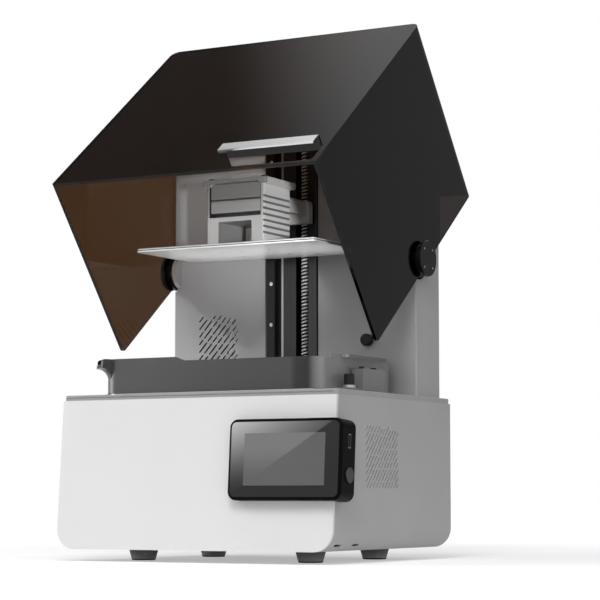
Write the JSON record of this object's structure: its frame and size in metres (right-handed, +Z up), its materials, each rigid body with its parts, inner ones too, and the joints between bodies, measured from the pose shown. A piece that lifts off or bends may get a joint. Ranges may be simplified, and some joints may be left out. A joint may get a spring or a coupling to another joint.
{
  "type": "resin printer",
  "caption": "Desktop resin 3D printer with a leaning cabinet, side-hinged smoked hood shown open, resin vat, lift column with screw-driven build head and a corner screen unit.",
  "frame": {"origin": "middle of the cabinet's footprint on the table", "axes": "+X to the right seen from the front, +Y to the back, +Z up"},
  "size_m": [0.3589, 0.3831, 0.6021],
  "materials": {
    "white_plastic": "satin white",
    "grey_sheet": "fine grey powder coat",
    "black_plastic": "fine grain black",
    "rubber": "matt",
    "smoked_sheet": "polished smoked acrylic",
    "bright_aluminium": "satin",
    "dark_aluminium": "dark anodised",
    "steel": "ground",
    "brass": "turned",
    "dark_glass": "polished",
    "display": "polished",
    "film": "clear",
    "board": "solder mask"
  },
  "bodies": {
    "printer": {"front_fascia": "white_plastic", "base_sleeve": "grey_sheet", "rear_panel": "grey_sheet", "column_shell": "grey_sheet", "column_back": "grey_sheet", "deck_plate": "grey_sheet", "screen_housing": "black_plastic", "power_inlet": "black_plastic", "fan_frame": "black_plastic", "column_cap": "black_plastic", "limit_sensor": "black_plastic", "feet": "rubber", "hinge_ears": "bright_aluminium", "heat_sink": "bright_aluminium", "film_ring": "bright_aluminium", "tower_beam": "dark_aluminium", "vat_tub": "dark_aluminium", "vat_clamps": "dark_aluminium", "lift_motor": "dark_aluminium", "power_supply": "dark_aluminium", "light_reflector": "dark_aluminium", "top_bearing": "dark_aluminium", "linear_rail": "steel", "hinge_pins": "steel", "usb_port": "steel", "masking_screen": "dark_glass", "screen_glass": "dark_glass", "display_panel": "display", "vat_film": "film", "main_board": "board", "lens_board": "board"},
    "carriage": {"rail_block": "steel", "screw_nut": "brass", "carriage_arm": "dark_aluminium", "head_block": "bright_aluminium", "head_cap": "bright_aluminium", "head_panel": "bright_aluminium", "lock_plate": "bright_aluminium", "lever_pin": "steel", "build_plate": "bright_aluminium"},
    "lever": {"release_lever": "bright_aluminium"},
    "screw": {"lead_screw": "steel", "shaft_coupler": "bright_aluminium", "motor_shaft": "steel"},
    "hood": {"hood_canopy": "smoked_sheet", "hood_front": "smoked_sheet", "hood_pull": "bright_aluminium", "hub_caps": "black_plastic", "hub_discs": "black_plastic"},
    "screw_knob_left": {"thumbscrew_left": "steel"},
    "screw_knob_right": {"thumbscrew_right": "steel"},
    "button": {"power_button": "black_plastic"},
    "fan": {"fan_rotor": "black_plastic"}
  },
  "joints": [
    {"name": "hood_hinge", "type": "hinge", "parent": "printer", "child": "hood", "pos_m": [0, 0.084, 0.3345], "axis": [1, 0, 0], "range_deg": [0, 52]},
    {"name": "lift_slide", "type": "slide", "parent": "printer", "child": "carriage", "axis": [0, 0, 1], "range_m": [-0.158, 0.06]},
    {"name": "screw_turn", "type": "hinge", "parent": "printer", "child": "screw", "pos_m": [0.015, 0.082, 0.3], "axis": [0, 0, 1], "range_deg": [-5420, 14240]},
    {"name": "lever_hinge", "type": "hinge", "parent": "carriage", "child": "lever", "pos_m": [0, -0.046, 0.3942], "axis": [-1, 0, 0], "range_deg": [0, 75]},
    {"name": "knob_turn_left", "type": "hinge", "parent": "printer", "child": "screw_knob_left", "pos_m": [-0.1445, -0.055, 0.19], "axis": [0, 0, 1], "range_deg": [0, 720]},
    {"name": "knob_turn_right", "type": "hinge", "parent": "printer", "child": "screw_knob_right", "pos_m": [0.1445, -0.055, 0.19], "axis": [0, 0, 1], "range_deg": [0, 720]},
    {"name": "button_press", "type": "slide", "parent": "printer", "child": "button", "axis": [-1, 0, 0], "range_m": [0, 0.0012], "stiffness_N_per_m": 600},
    {"name": "fan_spin", "type": "hinge", "parent": "printer", "child": "fan", "pos_m": [0, -0.01, 0.078], "axis": [0, 0, 1], "continuous": true}
  ],
  "couplings": [
    {"joint": "screw_turn", "follows": "lift_slide", "rad_per_m": -1570.8}
  ]
}
